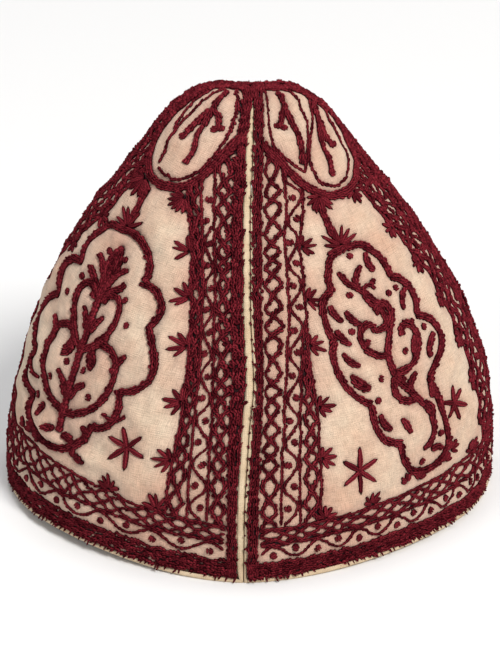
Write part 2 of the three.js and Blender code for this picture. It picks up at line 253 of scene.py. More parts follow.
# what fills a cartouche, each with its rows of stitches first, measured from the middle: stems through some points;
# scrolls from (x, v) with a heading in degrees, a length in mm, and the first and last bend in degrees per mm; leaves
# from foot to tip; and knots for fruit
floweringShrub = {
    "middle": (8.5, 73), "lean": -0.03, "mirrored": True, "stems": [(2, [(0, -34), (0, -12), (0, 23)])],
    "scrolls": [(2, 0.5, -26, 4, 58, 2.5, 15.5), (2, 0.5, -3, 30, 36, 1.9, 21), (2, 0.5, 17, 58, 12, -5, 16),
                (1, 18.5, -20.5, -20, 11, 4, 18)],
    "leaves": [(3, 0, 23, 0, 36), (2, 1.5, 21, 8, 30), (2, 11, -27.5, 14, -32.5), (2, 18, -6, 21.5, 1.5),
               (2, 1.8, -21, 7.2, -13.5), (2, 1.8, 4, 5.5, 11), (2, 2, -34, 8, -35.5), (2, 9.5, -5.5, 5.5, 0)],
    "fruit": [(11, -17), (10.5, 5), (4.8, -9), (12.5, 20), (17.5, 12), (16.5, -26), (4.5, 33)],
}
wanderingVine = {
    "middle": (-0.5, 72), "lean": -0.06, "mirrored": False,
    "stems": [(2, [(7, -33), (8, -25), (3.5, -16), (-2.5, -7), (-2.5, 2), (2, 10), (1, 19), (-4, 27)])],
    "scrolls": [(2, -2.5, -6, -12, 33, 3.6, 22), (2, -2.8, 1, 178, 24, -6, -27), (2, 2, 10, 20, 17, 10, 34),
                (1, 1.4, 17, 165, 17, -9, -30), (2, 4, -17, 200, 21, -8, -28), (1, 8, -27, 30, 9, 12, 34)],
    "leaves": [(2, -4, 27, -8, 34), (2, -4, 27, 1, 33.5), (2, 2.6, 12, -4, 10.5), (2, 9, -4, 11.5, 3),
               (2, -8.5, 14, -12.5, 20), (2, 2, -14, 6.5, -9), (2, 7, -32, 2, -36), (2, 11.5, -20, 14, -13.5),
               (2, -6, -22, -3.5, -27.5), (3, -14, -8, -19.5, -2), (2, -15, 0.5, -20, 6),
               (2, -15.5, 8.5, -18.5, 14.5), (2, -15, 17, -17, 23.5), (2, -10.5, -25, -14, -18.5),
               (2, 15.5, -6.5, 20.5, 0.5), (2, 12, 13, 16, 19.5), (2, 6, 30, 5.5, 37), (2, 5, -37.5, 10.5, -39)],
    "fruit": [(-9, 7.5), (7.5, 21), (3.5, 27), (-9, -6), (4.5, 0), (-8.5, 25.5), (-5, -12.5), (13, 8), (10.5, -33),
              (-13, -13), (17.5, 4.5), (12, 21.5), (-1, 38.5), (0, -40.5), (-13.5, 13)],
}

# the petals under the point: outline, the sprout in it and its tips, the thick line below, and how far they reach
petalsLeft = {
    "thin": [[(0.7, 182.5), (-3, 178.6), (-5.7, 175), (-8.8, 169.5), (-10.9, 164), (-11.8, 159.6), (-11.2, 154.5),
              (-10, 149.5), (-8.4, 145), (-5.6, 141.8), (-2.3, 139.6), (2.4, 139.2), (6.8, 140)],
             [(8.2, 141.6), (8.1, 146), (8.8, 150), (8.3, 154), (7.6, 158), (6.2, 162.6), (5.2, 168), (4.2, 174.4),
              (3.4, 179.6)],
             [(6.4, 178), (7.4, 172), (8.9, 166), (9.6, 161.6), (9.6, 157.4), (8.6, 153.6)]],
    "stems": [[(1.2, 180), (0.4, 174), (-0.4, 169.6), (-4.4, 168), (-6.2, 164.4)],
              [(-0.4, 169.6), (-1.4, 163.6), (-1.1, 159), (-2.3, 155), (-3.2, 151), (-3, 146.6)],
              [(0, 168.6), (1.2, 163.5), (2.4, 158.6), (3.5, 155.2)]],
    "tips": [(-5.8, 162.6), (-7.7, 164.2), (3.7, 154.6)],
    "thick": [[(-14.6, 164), (-14.2, 158), (-13, 151), (-10, 142.6), (-5, 137.8), (1, 136), (8, 135.8), (13, 138.2),
               (16.6, 143.5), (17.4, 150), (15.4, 158), (12.6, 165), (9.6, 173)]],
    "limit": [(1, 192), (-16, 166), (-14.5, 158), (-13, 150), (-10, 141.6), (-5, 136.8), (1, 135), (9, 134.8),
              (14.4, 137.4), (18.4, 143.6), (19, 151), (16.6, 160), (13.8, 166), (10, 176), (1, 192)],
}
petalsRight = {
    "thin": [[(1.2, 183.5), (-1.8, 178.4), (-5.8, 172), (-9.5, 165), (-11.8, 158.8), (-10.1, 153), (-7.8, 148),
              (-5.9, 144.5)],
             [(-5.6, 144.5), (-3.4, 147.5), (-0.5, 151.5), (2, 156), (3.7, 160.2), (5.5, 165.5), (7, 170.2),
              (6, 175.4), (2.6, 181)],
             [(14, 169), (12.6, 166.2), (9, 162.4), (5.3, 158), (1.8, 154), (-1.1, 149.5), (-2.7, 143.5), (-2, 139),
              (1.7, 136.2), (6.9, 135.2), (11.8, 137.4), (15.3, 141.5), (16, 147.5), (15.5, 154), (16.2, 159.5),
              (15.6, 165), (14, 169)]],
    "stems": [[(3, 177), (1, 171.4), (-3.2, 167), (-5.4, 163.8)],
              [(1, 171.4), (-1.2, 163.5), (-2, 157), (-3.3, 151.4), (-4.8, 148)],
              [(13.4, 165), (10.6, 160.8), (10.2, 156), (9.9, 151.6), (10.6, 149.4)],
              [(10.2, 159.6), (7, 152.4), (5.7, 144.5), (4.5, 140)]],
    "tips": [(-5, 162.6), (-6.6, 164.4), (10.8, 148.6), (4.4, 140)],
    "thick": [[(-15.5, 160.5), (-12.3, 152), (-10.4, 146), (-8.4, 141), (-4.8, 136.4), (-0.1, 133), (7.5, 131.8),
               (14.6, 133.7), (20.4, 138.2), (22, 145), (21.9, 152.5), (21.4, 158.5), (18.3, 164.8)]],
    "limit": [(0, 192), (-17, 163), (-13.4, 151), (-10, 140.6), (-5.6, 135.2), (-0.4, 131.8), (7.5, 130.6),
              (15, 132.4), (21.8, 137.2), (23.4, 145), (23.2, 153), (22.8, 159.5), (18.4, 167), (8, 182), (0, 192)],
}

# pitch, width and height of one stitch in mm, and its sway in radians; a detached stitch has no pitch
stitchLooks = {
    "line": (1.7, 1.42, 0.9, 0.12), "dense": (1.5, 1.6, 1.25, 0.24), "pile": (1.3, 1.65, 1.1, 0.38),
    "bold": (1.75, 1.85, 1.35, 0.1), "lattice": (1.7, 1.95, 1.1, 0.16), "net": (1.6, 1.4, 0.95, 0.14),
    "wave": (1.6, 1.3, 0.85, 0.08), "dot": (0, 1.15, 1.1, 0.05), "petal": (0, 1.8, 1.15, 0.02),
    "arm": (0, 2.35, 1.15, 0.02), "whip": (0, 0.8, 0.42, 0.05),
}
linkOverlap = 1.36  # a chain stitch is this many times as long as its pitch


def zigzag(turns):
    # between 0 and 1 and back once in each turn
    return np.abs((turns % 1) * 2 - 1)


class GoreDrawing:
    # the stitched lines of one gore, as (kind, points) with the band stitches and the field stitches apart
    def __init__(self, name, startBorder, endBorder, petals, seed):
        self.rng = np.random.default_rng(seed)
        self.name, self.gore, self.petals = name, gores[name], petals
        self.borders = [np.array(borders[startBorder]), np.array(borders[endBorder])]
        self.rim = np.array(rimBorders[name])
        self.limit = np.array(petals["limit"]) - (0, 0.6)
        self.lines = {"band": [], "field": [], "rim": []}

    def add(self, group, kind, points, rows=1, gap=1.3, leaf=False):
        # rows beside each other, gap mm apart, centred on the line; a leaf's rows draw together at both ends
        points = np.asarray(points, float)
        away = unit(np.gradient(points, axis=0))[:, ::-1] * (-1, 1)
        if leaf:
            away *= np.sin(np.linspace(0.03, 0.97, len(points)) * math.pi)[:, None] ** 0.8
        for row in range(rows):
            self.lines[group].append((kind, points + away * gap * (row - (rows - 1) / 2)))

    def fromSeam(self, end, v, column):
        # x of a border line beside the seam where across is 0 (end 0) or 1 (end 1); column 3.5 is midway from 3 to 4
        table, first = self.borders[end], int(column)
        far = np.interp(v, table[:, 0], table[:, first])
        if column > first:
            far += (np.interp(v, table[:, 0], table[:, first + 1]) - far) * (column - first)
        centre = centreAt(self.gore, v)
        return far - centre if end == 0 else widthAt(self.gore, v) - centre - far

    def rimHeight(self, x, column):
        # height of a line of the rim border at x, read 15 mm up, where that border is
        return np.interp((x + centreAt(self.gore, 15)) / widthAt(self.gore, 15), self.rim[:, 0], self.rim[:, column])

    def clipped(self, kind, points, keep):
        # only the stretches of the line where keep is true, if more than three points long
        cuts = np.flatnonzero(np.diff(np.concatenate([[0], keep.astype(int), [0]])))
        for start, stop in zip(cuts[::2], cuts[1::2]):
            if stop - start > 3:
                self.add("band", kind, points[start:stop])

    def underPetals(self, points):
        # outside the petals' outline, by counting the sides that a line across each point meets, and below their tops
        x, v = points.T
        crossed = np.zeros(len(points), bool)
        for (x0, v0), (x1, v1) in zip(self.limit[:-1], self.limit[1:]):
            crossed ^= ((v0 > v) != (v1 > v)) & (x < x0 + (v - v0) * (x1 - x0) / (v1 - v0 + 1e-9))
        return ~crossed & (v < 168)

    def besideSeam(self, kind, x, v, keep=True):
        # a line of the border at a seam, where it is above the rim's border and outside the petals
        points = np.column_stack([x, v])
        self.clipped(kind, points, (v > self.rimHeight(x, 3) + 0.4) & self.underPetals(points) & keep)

    def seamBorder(self, end):
        # along the seam: three dense rows, a lattice, a line, a wave, a line, a lattice and a line
        narrowed = self.name == "front_right" and end == 0  # its outer lattice ends half way up
        v = np.arange(2.4, 187.5, 0.5)
        for row in range(3):
            self.add("band", "dense", np.column_stack([self.fromSeam(end, v, 1 + (row + 0.5) / 3), v]))
        for column in (3, 4, 5):
            v = np.arange(18, 92 if column == 5 and narrowed else 172, 0.5)
            self.besideSeam("line", self.fromSeam(end, v, column), v)
        # crossing zigzags make each lattice: start column, first share of the room, period
        for column, first, period in ((2, 0.1, 14.2), (4, 0.2, 14.6)):
            v = np.arange(15, 84 if column == 4 and narrowed else 172, 0.35)
            start = self.fromSeam(end, v, column)
            room = self.fromSeam(end, v, column + 1) - start
            uneven = 0.07 * np.sin(v / 9.1 + end) + 0.06 * np.sin(v / 3.7 + 2 * end) + 0.02 * np.sin(v / 1.3)
            for phase in (0, 0.5):
                saw = first + 0.72 * zigzag(v / period + phase + uneven + 0.13 * end)
                self.besideSeam("lattice", start + room * saw, v, np.abs(room) > 2.2)
        # a wave with a knot in each bend runs between the first two lines
        period, lowest = 15.6, 24
        half = lambda v: (self.fromSeam(end, v, 4) - self.fromSeam(end, v, 3)) / 2
        v = np.arange(18, 128 if self.name == "front_left" and end == 0 else 160, 0.4)
        swing = np.sin((v - lowest) / period * 2 * math.pi)
        self.besideSeam("wave", self.fromSeam(end, v, 3.5) + swing * (half(v) - np.sign(half(v)) * 0.8), v)
        for k in range(20):
            v = lowest + period * (0.25 + 0.5 * k)
            x = self.fromSeam(end, v, 3.5) - half(v) * 0.32 * (1 if k % 2 == 0 else -1)
            outside = self.underPetals(np.array([[x, v + 3]]))[0]
            if outside and abs(half(v)) > 2 and v > self.rimHeight(x, 3) + 0.4:
                self.knot("band", x, v, 1.2)

    def rimBorder(self):
        # along the rim, from below: five piled rows, a wave with knots, a line, a net of three zigzags and a line
        x = np.linspace(self.fromSeam(0, 6, 1) + 0.4, self.fromSeam(1, 6, 1) - 0.4, 320)
        start, stop = self.fromSeam(0, 14, 2), self.fromSeam(1, 14, 2)
        clear = (x > start + 0.6) & (x < stop - 0.6)
        bottom, line, top = (self.rimHeight(x, column) for column in (1, 2, 3))
        for row in range(5):
            self.add("band", "pile", np.column_stack([x, 2.0 + (bottom - 2.0) * (row + 0.45) / 5]))
        for height in (line, top):
            self.clipped("line", np.column_stack([x, height]), clear)
        uneven = 0.05 * np.sin(x / 7.3) + 0.04 * np.sin(x / 2.9)
        for phase in (0, 0.34, 0.66):
            saw = 0.04 + 0.92 * zigzag(x / 23.5 + phase + uneven)
            self.clipped("net", np.column_stack([x, line + (top - line) * saw]), clear)
        period = 16.4 if self.name == "front_right" else 21.6
        middle, half = (bottom + line) / 2 + 0.3, (line - bottom) / 2 - 1.0
        self.clipped("wave", np.column_stack([x, middle + np.sin(x / period * 2 * math.pi) * half]), clear)
        for k in range(-9, 11):
            at = period * (0.25 + 0.5 * k)
            if start + 3 < at < stop - 3:
                self.knot("band", at, np.interp(at, x, middle) + (-1.0 if k % 2 == 0 else 1.0), 1.25)

    def knot(self, group, x, v, share=1.0):
        # a round dot of three short stitches side by side, the middle one longest
        turn = self.rng.uniform(0, math.pi)
        way, side = np.array([math.cos(turn), math.sin(turn)]), np.array([-math.sin(turn), math.cos(turn)])
        for beside, half in ((-0.68, 0.95), (0, 1.25), (0.68, 0.95)):
            middle = np.array([x, v]) + side * beside * share
            self.add(group, "dot", np.array([middle - way * half * share, middle + way * half * share]))

    def sprig(self, x, v, heading, petals=5, length=5.6, spread=138):
        # detached stitches that fan out from one point, the middle ones longest
        for k in range(petals):
            share = k / (petals - 1) * 2 - 1
            turn = math.radians(heading + spread / 2 * share + self.rng.uniform(-6, 6))
            reach = length * (1 - 0.2 * share * share) * self.rng.uniform(0.9, 1.1)
            way = np.array([math.cos(turn), math.sin(turn)])
            self.add("field", "petal", np.array([(x, v) + way * 0.3, (x, v) + way * reach]))

    def borderSprig(self, end, v, tilt=0, column=5, **looks):
        # a sprig that grows from a seam's border into the field
        x = self.fromSeam(end, v, column) + (0.8 if end == 0 else -0.8)
        self.sprig(x, v, tilt if end == 0 else 180 + tilt, **looks)

    def rimSprig(self, x, tilt=0, **looks):
        # a sprig that grows from the rim's border
        self.sprig(x, self.rimHeight(x, 3) + 0.8, 90 + tilt, **looks)

    def star(self, x, v, first, reach=8.4):
        # six detached stitches from one point, the first one at the angle given
        for k in range(6):
            turn = math.radians(first + 60 * k + self.rng.uniform(-5, 5))
            way = np.array([math.cos(turn), math.sin(turn)])
            self.add("field", "arm", np.array([(x, v) - way * 0.6, (x, v) + way * reach * self.rng.uniform(0.9, 1.1)]))

    def petalsAtTop(self):
        # two or three petals under the point, each with a sprout, above a thick line
        for outline in self.petals["thin"]:
            self.add("field", "line", smoothLine(outline, 8))
        for stem in self.petals["stems"]:
            self.add("field", "bold", smoothLine(stem, 8), rows=2, gap=0.7)
        for x, v in self.petals["tips"]:
            self.knot("field", x, v, 1.3)
        for outline in self.petals["thick"]:
            self.add("field", "bold", smoothLine(outline, 8), rows=3, gap=0.9)
        for v in (184.6, 186.2, 187.6):  # the point of the cap is sewn over
            x = np.linspace(0, widthAt(self.gore, v), 9) - centreAt(self.gore, v)
            self.add("field", "dense", np.column_stack([x, np.full(9, v)]))

    def cartouche(self, scallops, fill):
        # x = middle + side * offset + lean * height; a scroll's heading is the sum of its bends so far
        for before, scallop in zip(scallops[-1:] + scallops, scallops):
            self.add("field", "bold", smoothLine(before[-1:] + scallop, 8), rows=2, gap=1.35)
        middleX, middleV = fill["middle"]
        for side in (1, -1) if fill["mirrored"] else (1,):
            place = lambda x, v: (middleX + x * side + fill["lean"] * v, middleV + v)
            draw = lambda path, **looks: self.add("field", "bold", np.column_stack(place(*path)), **looks)
            for rows, points in fill["stems"]:
                draw(smoothLine(points, 8).T, rows=rows, gap=1.3)
            for rows, x, v, heading, length, first, last in fill["scrolls"]:
                step, far = length / 59, np.linspace(0, 1, 60)
                bends = np.radians(first + (last - first) * far[1:] ** 3) * step
                turn = np.radians(heading) + np.concatenate([[0], np.cumsum(bends)])
                ways = step * np.stack([np.cos(turn), np.sin(turn)])
                draw(np.array([[x], [v]]) + np.cumsum(ways, axis=1) - ways[:, :1], rows=rows, gap=1.25)
            for rows, x, v, tipX, tipV in fill["leaves"]:
                bow = np.sin(np.linspace(0, math.pi, 13)) * 0.12
                path = np.linspace((x, v), (tipX, tipV), 13) + np.outer(bow, (v - tipV, tipX - x))
                draw(path.T, rows=rows, gap=1.35, leaf=True)
            for x, v in fill["fruit"]:
                self.knot("field", *place(x, v), 1.15)

    def rimWhipping(self):
        # short slanted stitches over the edging at the rim
        x = np.arange(3, widthAt(self.gore, 0) - 2, 2.5) - centreAt(self.gore, 0)
        for at in x + self.rng.uniform(-0.8, 0.8, len(x)):
            slant, low, high = self.rng.uniform((0.2, 0.3, 2.5), (1.5, 1.2, 3.2))
            self.add("rim", "whip", np.array([(at + slant, low), (at, high)]))
        # small stitches close the front and back seams
        for v in np.arange(9, 158, 4.7) + self.rng.uniform(-0.8, 0.8, 32):
            if self.gore["toRight"] > 0:
                x = 0.35 - centreAt(self.gore, v)
                tip = (x + self.rng.uniform(-0.2, 0.3), v + self.rng.uniform(0.8, 1.5))
                self.add("rim", "whip", np.array([(x, v), tip]))


def drawGore(name):
    # the whole drawing of a gore: medallion, stars and sprigs first, then the borders, the petals and the whipping
    side = "Left" if name.endswith("left") else "Right"
    front = name.startswith("front")
    drawing = GoreDrawing(name, ("front" if front else "side") + side, "side" + side,
                          petalsLeft if side == "Left" else petalsRight, len(name) + 3)
    if name == "front_left":
        drawing.cartouche(cartoucheLeft, floweringShrub)
        drawing.star(-22.6, 43.7, 12)
        for v, tilt in [(117, 20), (101, 12), (84, 8), (64, 5), (43, 0)]:
            drawing.borderSprig(0, v, tilt, length=6.8)
        for v in (114, 99, 84, 66, 47, 33):
            drawing.borderSprig(1, v)
        for x in (-38, -18, 52, 70):
            drawing.rimSprig(x, length=6.6)
        drawing.sprig(9.5, 116.3, 92, petals=9, length=8.6, spread=220)
        drawing.add("field", "bold", [(9.3, 120.5), (8.6, 126), (8.4, 132.5)], rows=2)
        drawing.sprig(12.2, 134.6, 285, petals=9, length=8.2, spread=160)
        drawing.sprig(-8.6, 135, 305, petals=8, length=7.2, spread=140)
        for x, v, heading in [(28, 31, 70), (24, 30, 110), (35, 30, 60), (0, 32, 120), (-4, 31, 80)]:
            drawing.sprig(x, v, heading, petals=4, length=4.6, spread=110)
    elif name == "front_right":
        drawing.cartouche(cartoucheRight, wanderingVine)
        drawing.star(-25.8, 36.4, 22)
        drawing.star(23, 46, 35, 6.2)
        for v, tilt, column in [(119, -12, 4), (100, -8, 4), (84, 0, 5), (62, 0, 5), (44, 0, 5)]:
            drawing.borderSprig(0, v, tilt, column)
        for v in (112, 96, 81, 65, 49, 35):
            drawing.borderSprig(1, v)
        for x in (-41, -22, 31):
            drawing.rimSprig(x)
        drawing.sprig(-5, 115, 88, petals=9, length=8.6, spread=210)
        drawing.add("field", "bold", [(-6.4, 119), (-6.3, 124), (-5.4, 131)], rows=2)
        drawing.sprig(10.4, 130.6, 272, length=5.2)
        drawing.sprig(-4.4, 134.6, 262, petals=9, length=7, spread=180)
        for x, v, heading in [(-6, 26, 110), (0, 25, 70), (14, 27, 60), (18, 30, 30)]:
            drawing.sprig(x, v, heading, petals=4, length=4.4, spread=110)
    else:
        middle = 0 if side == "Right" else -2
        drawing.cartouche(cartoucheRight, wanderingVine)
        drawing.star(-27, 37, 20)
        drawing.star(27, 36, 32, 6.0)
        for v in (36, 51, 67, 84, 99, 115):
            drawing.borderSprig(0, v - 3)
            drawing.borderSprig(1, v)
        for x in (-30, -12, 12, 34):
            drawing.rimSprig(x)
        drawing.sprig(middle, 115.5, 92, petals=9, length=6.2, spread=215)
        drawing.add("field", "bold", [(middle, 119), (middle, 124), (middle, 134)], rows=2)
    drawing.seamBorder(0)
    drawing.seamBorder(1)
    drawing.rimBorder()
    drawing.petalsAtTop()
    drawing.rimWhipping()
    return drawing


def linkShape(kind, stations):
    # one stitch as a closed shape: share along, share across, share up and shade of each point; a chain link widens
    # to its far end with a groove between its two strands, and a detached stitch is a pointed petal
    rows = {
        ("chain", 3): [(0.2, 0.62, 0.86, 0.8), (0.6, 1.0, 1.0, 0.45), (0.92, 0.84, 0.8, 0.25)],
        ("chain", 2): [(0.28, 0.78, 0.92, 0.6), (0.8, 1.0, 0.92, 0.35)],
        ("petal", 3): [(0.12, 0.66, 0.8, 0.86), (0.45, 1.0, 1.0, 0.8), (0.84, 0.74, 0.8, 0.86)],
        ("petal", 2): [(0.2, 0.86, 0.9, 0.85), (0.72, 0.96, 0.9, 0.85)],
    }[kind, stations]
    points = [(0.0, 0.0, 0.3, 0.1)]
    for along, wide, tall, groove in rows:
        # the shade values are painted shade: full on the crowns, low at the edges and in the groove
        profile = [(-1, 0, 0.3), (-0.52, 1, 1.0), (0, groove, (groove - 0.25) * 0.8), (0.52, 1, 1.0), (1, 0, 0.3)]
        points += [(along, wide * across, tall * up, shade) for across, up, shade in profile]
    points.append((1.0, 0.0, 0.25, 0.0))
    last = 1 + (stations - 1) * 5
    faces = []
    for k in range(5):
        n = (k + 1) % 5
        faces += [(0, 1 + n, 1 + k), (last + k, last + n, last + 5)]
        for a in range(1, last, 5):
            faces += [(a + k, a + n, a + 5 + n), (a + k, a + 5 + n, a + 5 + k)]
    return np.array(points), np.array(faces)


def linksOf(lines, rng):
    # one row for each stitch: start, direction, length, width, height, tone, lift over others, chain (0) or petal (1)
    out = []
    for kind, points in lines:
        pitch, width, height, swing = stitchLooks[kind]
        count = max(1, int(round(runOf(points)[-1] / pitch))) if pitch else 1
        spots = evenly(points, count)[0]
        way = np.diff(spots, axis=0)
        step = np.linalg.norm(way, axis=1)
        way = unit(way)
        sway = rng.normal(0, swing, count)
        way = np.column_stack([way[:, 0] * np.cos(sway) - way[:, 1] * np.sin(sway),
                               way[:, 0] * np.sin(sway) + way[:, 1] * np.cos(sway)])
        spots = spots[:-1] + rng.normal(0, 0.06 if pitch else 0.0, (count, 2))
        out.append(np.column_stack([
            spots, way, step * (linkOverlap if pitch else 1.0), width * rng.normal(1, 0.1, count).clip(0.75, 1.25),
            height * rng.normal(1, 0.12, count).clip(0.7, 1.3), rng.uniform(0, 1, count) * 0.75 + rng.uniform(0, 0.25),
            np.full(count, rng.uniform(0, 0.25) if kind in ("lattice", "wave") else 0.0),
            np.full(count, 0.0 if pitch else 1.0)]))
    return np.vstack(out)


reliefStep = 0.5  # mm between samples of the relief map
reliefX = np.arange(-80, 100 + reliefStep, reliefStep)
reliefV = np.arange(-5, 200 + reliefStep, reliefStep)


def blur(field, reach):
    # Gaussian blur, reach in mm, by fast Fourier transform
    fy = np.fft.fftfreq(field.shape[0], reliefStep)[:, None]
    fx = np.fft.rfftfreq(field.shape[1], reliefStep)[None]
    return np.fft.irfft2(np.fft.rfft2(field) * np.exp(-2 * (math.pi * reach) ** 2 * (fx**2 + fy**2)), s=field.shape)


# soft creases: from (x, v) to (x, v), reach across and height, in mm
creases = {
    "front_left": [(-24, 33, 30, 38, 3.0, 0.7), (-20, 37.5, 20, 42, 3.0, -0.6), (-22, 62, -27, 128, 2.6, 0.75),
                   (-29.5, 66, -32, 122, 2.2, -0.7), (-26, 80, -33, 96, 2.4, 0.6), (-20, 118, -34, 128, 2.6, 0.55),
                   (-28, 52, -20, 58, 2.8, 0.5), (34, 96, 44, 84, 2.6, 0.6)],
    "front_right": [(-28, 26, -18, 30, 2.6, 0.55), (-30, 50, -26, 84, 2.4, 0.5), (-20, 112, -28, 96, 2.4, 0.6),
                    (20, 54, 32, 66, 2.8, 0.5), (8, 118, 20, 104, 2.6, 0.6), (22, 90, 29, 76, 2.4, 0.55)],
    "back_right": [(-28, 40, -24, 84, 2.6, 0.6), (24, 96, 32, 70, 2.6, 0.6)],
    "back_left": [(-27, 60, -23, 104, 2.6, 0.6), (20, 34, 34, 42, 3.0, 0.6)],
}


def reliefOf(name, links, rng):
    # cloth height: pulled down along the stitching, full between it, with soft wrinkles; and how much thread is near
    cover = np.zeros((len(reliefV), len(reliefX)))
    shares = (0.1, 0.35, 0.6, 0.85)
    for share in shares:
        spots = links[:, :2] + links[:, 2:4] * (links[:, 4] * share)[:, None]
        i = ((spots[:, 1] - reliefV[0]) / reliefStep).round().astype(int).clip(0, len(reliefV) - 1)
        j = ((spots[:, 0] - reliefX[0]) / reliefStep).round().astype(int).clip(0, len(reliefX) - 1)
        area = links[:, 4] / linkOverlap * links[:, 5] * 0.75 / len(shares)
        np.add.at(cover, (i, j), area / reliefStep**2)
    # thread under the point itself, close by and in the wider surroundings: gain, reach in mm
    tight, close, wide = (np.minimum(1, gain * blur(cover, reach))
                          for gain, reach in ((1.5, 0.75), (1.6, 1.6), (1.5, 4.5)))
    grain = [blur(rng.normal(0, 1, cover.shape), reach) for reach in (1.1, 2.4, 6.0)]
    grain = [g / g.std() for g in grain]
    height = 0.42 * (1 - tight) + 0.6 * (1 - close) + 0.9 * (1 - wide) - 0.45
    height += 0.1 * grain[0] + 0.3 * grain[1] * (1 - 0.5 * close) + 0.5 * grain[2] * (1 - 0.7 * wide)
    for x0, v0, x1, v1, reach, rise in creases[name]:
        acrossX, acrossV, run = reliefX[None] - x0, reliefV[:, None] - v0, (x1 - x0) ** 2 + (v1 - v0) ** 2
        share = np.clip((acrossX * (x1 - x0) + acrossV * (v1 - v0)) / run, 0, 1)
        apart = np.hypot(acrossX - share * (x1 - x0), acrossV - share * (v1 - v0))
        fade = (0.35 + 0.65 * np.sin(share * math.pi)) * (1 - 0.6 * close)
        height += 2.0 * rise * np.exp(-(apart / reach) ** 2) * fade
    return height, smoothstep(0.9, 1.0, tight), close, wide


def readRelief(grid, x, v):
    # bilinear reading of a relief map at x and v
    j = ((x - reliefX[0]) / reliefStep).clip(0, len(reliefX) - 1.001)
    i = ((v - reliefV[0]) / reliefStep).clip(0, len(reliefV) - 1.001)
    a, b = i.astype(int), j.astype(int)
    fi, fj = i - a, j - b
    return ((grid[a, b] * (1 - fj) + grid[a, b + 1] * fj) * (1 - fi)
            + (grid[a + 1, b] * (1 - fj) + grid[a + 1, b + 1] * fj) * fi)


def makePiece(name, points, faces, material, flip, uv, values={}):
    # a mesh of the body root, with its flat coordinates and values for each point; flip turns the faces over
    if flip:
        faces = [f[::-1] for f in faces]
    mesh = bpy.data.meshes.new(name)
    mesh.from_pydata(points.tolist(), [], faces)
    mesh.polygons.foreach_set("use_smooth", np.ones(len(mesh.polygons), bool))
    corners = np.empty(len(mesh.loops), int)
    mesh.loops.foreach_get("vertex_index", corners)
    mesh.uv_layers.new(name="flat").data.foreach_set("uv", uv[corners].astype(np.float32).ravel())
    for key, value in values.items():
        mesh.attributes.new(key, "FLOAT", "POINT").data.foreach_set("value", value.astype(np.float32).ravel())
    mesh.materials.append(material)
    mesh.validate()
    piece = bpy.data.objects.new(name, mesh)
    bpy.context.scene.collection.objects.link(piece)
    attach(piece, "root")
    return piece


def linear(code):
    # sRGB hex to linear RGBA
    parts = [int(code[k:k + 2], 16) / 255 for k in (1, 3, 5)]
    return tuple(p / 12.92 if p <= 0.04045 else ((p + 0.055) / 1.055) ** 2.4 for p in parts) + (1.0,)


def add(tree, kind, inputs=None, **settings):
    # adds a node; an input is a value or another node's socket
    made = tree.nodes.new("ShaderNode" + kind)
    for key, value in settings.items():
        setattr(made, key, value)
    for key, value in (inputs or {}).items():
        if isinstance(value, bpy.types.NodeSocket):
            tree.links.new(value, made.inputs[key])
        else:
            made.inputs[key].default_value = value
    return made


def newMaterial(name):
    # a material with its node tree and its shader
    material = bpy.data.materials.new(name)
    material.use_nodes = True
    return material, material.node_tree, material.node_tree.nodes["Principled BSDF"]


def blend(tree, share, first, second):
    return add(tree, "MixRGB", {"Fac": share, "Color1": first, "Color2": second}).outputs[0]


def combine(tree, operation, first, second):
    return add(tree, "Math", {0: first, 1: second}, operation=operation).outputs[0]


def spread(tree, value, low, high, toLow=0.0, toHigh=1.0):
    # the range low to high, drawn out to the range toLow to toHigh
    return add(tree, "MapRange", {"Value": value, 1: low, 2: high, 3: toLow, 4: toHigh}).outputs[0]


def noise(tree, place, scale, detail=2.0, roughness=0.5, output="Fac"):
    values = {"Vector": place, "Scale": scale, "Detail": detail, "Roughness": roughness}
    return add(tree, "TexNoise", values).outputs[output]


def waves(tree, place, spacing, way, **inputs):
    # bands across one way, spacing in mm
    return add(tree, "TexWave", {"Vector": place, "Scale": math.pi / 10 / (spacing * mm), **inputs},
               wave_type="BANDS", bands_direction=way, wave_profile="SIN").outputs["Fac"]


def attribute(tree, name):
    return add(tree, "Attribute", attribute_name=name).outputs["Fac"]


def coat(tree, shader, colour, light, height, strength, distance, looks):
    # base colour = colour * light, the height as bump (distance in m), and the shader's own inputs
    cloth = add(tree, "VectorMath", {0: colour, 1: light}, operation="MULTIPLY")
    tree.links.new(cloth.outputs[0], shader.inputs["Base Color"])
    bump = add(tree, "Bump", {"Height": height, "Strength": strength, "Distance": distance})
    tree.links.new(bump.outputs[0], shader.inputs["Normal"])
    for key, value in looks.items():
        shader.inputs[key].default_value = value


def weaveHeight(tree, flat, spacing, jitter):
    # plain weave: warp ridges * weft ridges, spacing in mm, bent by noise of jitter mm
    wobble = noise(tree, flat, 160.0, output="Color")
    bent = add(tree, "VectorMath", {0: wobble, 1: (jitter * mm,) * 3}, operation="MULTIPLY")
    place = add(tree, "VectorMath", {0: flat, 1: bent.outputs[0]}, operation="ADD").outputs[0]
    warp, weft = (waves(tree, place, spacing, way, Distortion=0.0) for way in ("X", "Y"))
    return combine(tree, "MULTIPLY", warp, weft)


def slubs(tree, flat, height):
    # thicker threads here and there: noise drawn out along the warp plus noise drawn out along the weft
    warp, weft = (noise(tree, add(tree, "Mapping", {"Vector": flat, "Scale": scale}).outputs[0], 1.0, 2.0, 0.6)
                  for scale in ((260.0, 2600.0, 1.0), (2600.0, 260.0, 1.0)))
    return spread(tree, combine(tree, "ADD", warp, weft), 0.7, 1.3, 0.0, height)


